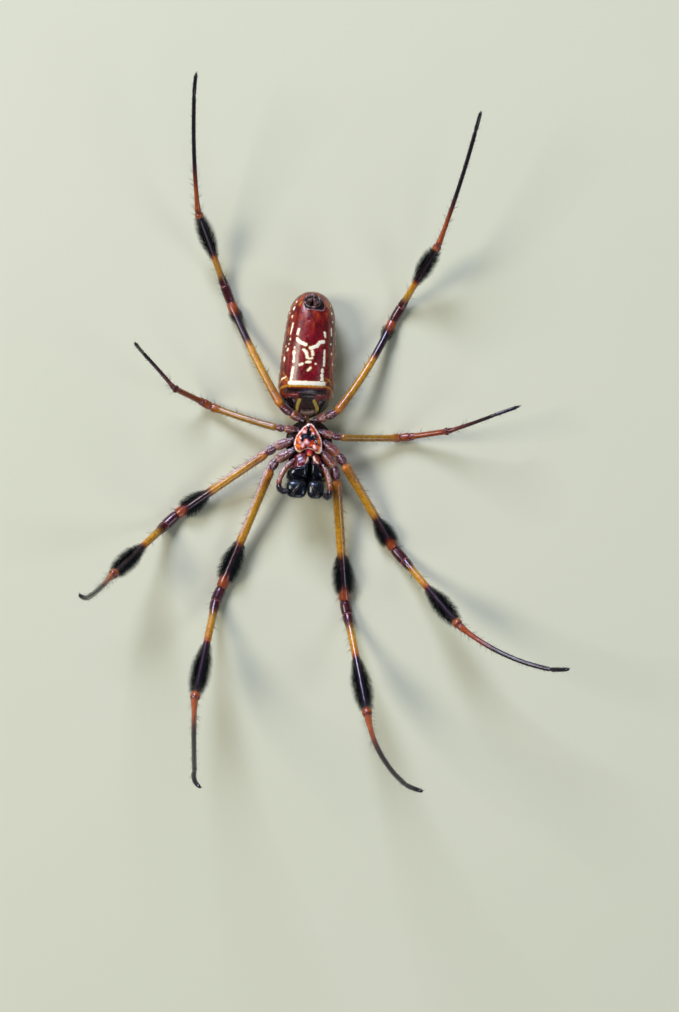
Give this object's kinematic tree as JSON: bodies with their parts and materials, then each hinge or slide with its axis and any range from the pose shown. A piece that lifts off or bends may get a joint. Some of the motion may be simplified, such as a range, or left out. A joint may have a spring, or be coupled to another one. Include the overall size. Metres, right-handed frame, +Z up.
{
  "type": "golden silk orb weaver spider",
  "caption": "Life-size orb-weaving spider lying on her back, long body with banded legs spread and tufted with bristles, claws lifted",
  "frame": {"origin": "on the floor under the middle of the abdomen, at the centre of the flat along its back on which the spider lies", "axes": "+Z up, out of the spider's underside; +Y towards the spinnerets, so the head points to -Y; +X to the spider's right as seen in the picture, which is her own left-hand side turned over"},
  "size_m": [0.0684, 0.1011, 0.03],
  "materials": {
    "leg_base": "red-brown cuticle with pale pubescence",
    "leg_amber": "glossy golden yellow cuticle with dark bristles",
    "leg_banded": "glossy red-brown, yellow and black bands with a black brush",
    "leg_black": "glossy black, orange-brown near the leg's brush",
    "abdomen": "glossy deep crimson with cream markings",
    "spinneret": "dark brown, pale at the tips",
    "waist": "soft brown skin",
    "carapace": "silvery pubescence over black",
    "sternum": "glossy orange and red with a cream edge and a black cross",
    "labium": "glossy dark red",
    "jaw": "glossy black",
    "fang": "glossy dark red-black",
    "palp": "orange-brown with a black tip",
    "eye": "glossy black"
  },
  "bodies": {
    "root": {"leg_1_left_coxa": "leg_base", "leg_1_left_femur": "leg_amber", "leg_1_left_tibia": "leg_banded", "leg_1_left_tarsus": "leg_black", "leg_1_right_coxa": "leg_base", "leg_1_right_femur": "leg_amber", "leg_1_right_tibia": "leg_banded", "leg_1_right_tarsus": "leg_black", "leg_2_left_coxa": "leg_base", "leg_2_left_femur": "leg_amber", "leg_2_left_tibia": "leg_banded", "leg_2_left_tarsus": "leg_black", "leg_2_right_coxa": "leg_base", "leg_2_right_femur": "leg_amber", "leg_2_right_tibia": "leg_banded", "leg_2_right_tarsus": "leg_black", "leg_3_left_coxa": "leg_base", "leg_3_left_femur": "leg_amber", "leg_3_left_tibia": "leg_banded", "leg_3_left_tarsus": "leg_black", "leg_3_right_coxa": "leg_base", "leg_3_right_femur": "leg_amber", "leg_3_right_tibia": "leg_banded", "leg_3_right_tarsus": "leg_black", "leg_4_left_coxa": "leg_base", "leg_4_left_femur": "leg_amber", "leg_4_left_tibia": "leg_banded", "leg_4_left_tarsus": "leg_black", "leg_4_right_coxa": "leg_base", "leg_4_right_femur": "leg_amber", "leg_4_right_tibia": "leg_banded", "leg_4_right_tarsus": "leg_black", "abdomen": "abdomen", "spinnerets": "spinneret", "pedicel": "waist", "carapace": "carapace", "sternum": "sternum", "labium": "labium", "maxilla_left": "jaw", "maxilla_right": "jaw", "chelicera_left": "jaw", "chelicera_right": "jaw", "fang_left": "fang", "fang_right": "fang", "pedipalp_left": "palp", "pedipalp_right": "palp", "eye_front_median_left": "eye", "eye_front_median_right": "eye", "eye_front_lateral_left": "eye", "eye_front_lateral_right": "eye", "eye_rear_median_left": "eye", "eye_rear_median_right": "eye", "eye_rear_lateral_left": "eye", "eye_rear_lateral_right": "eye"}
  },
  "joints": []
}
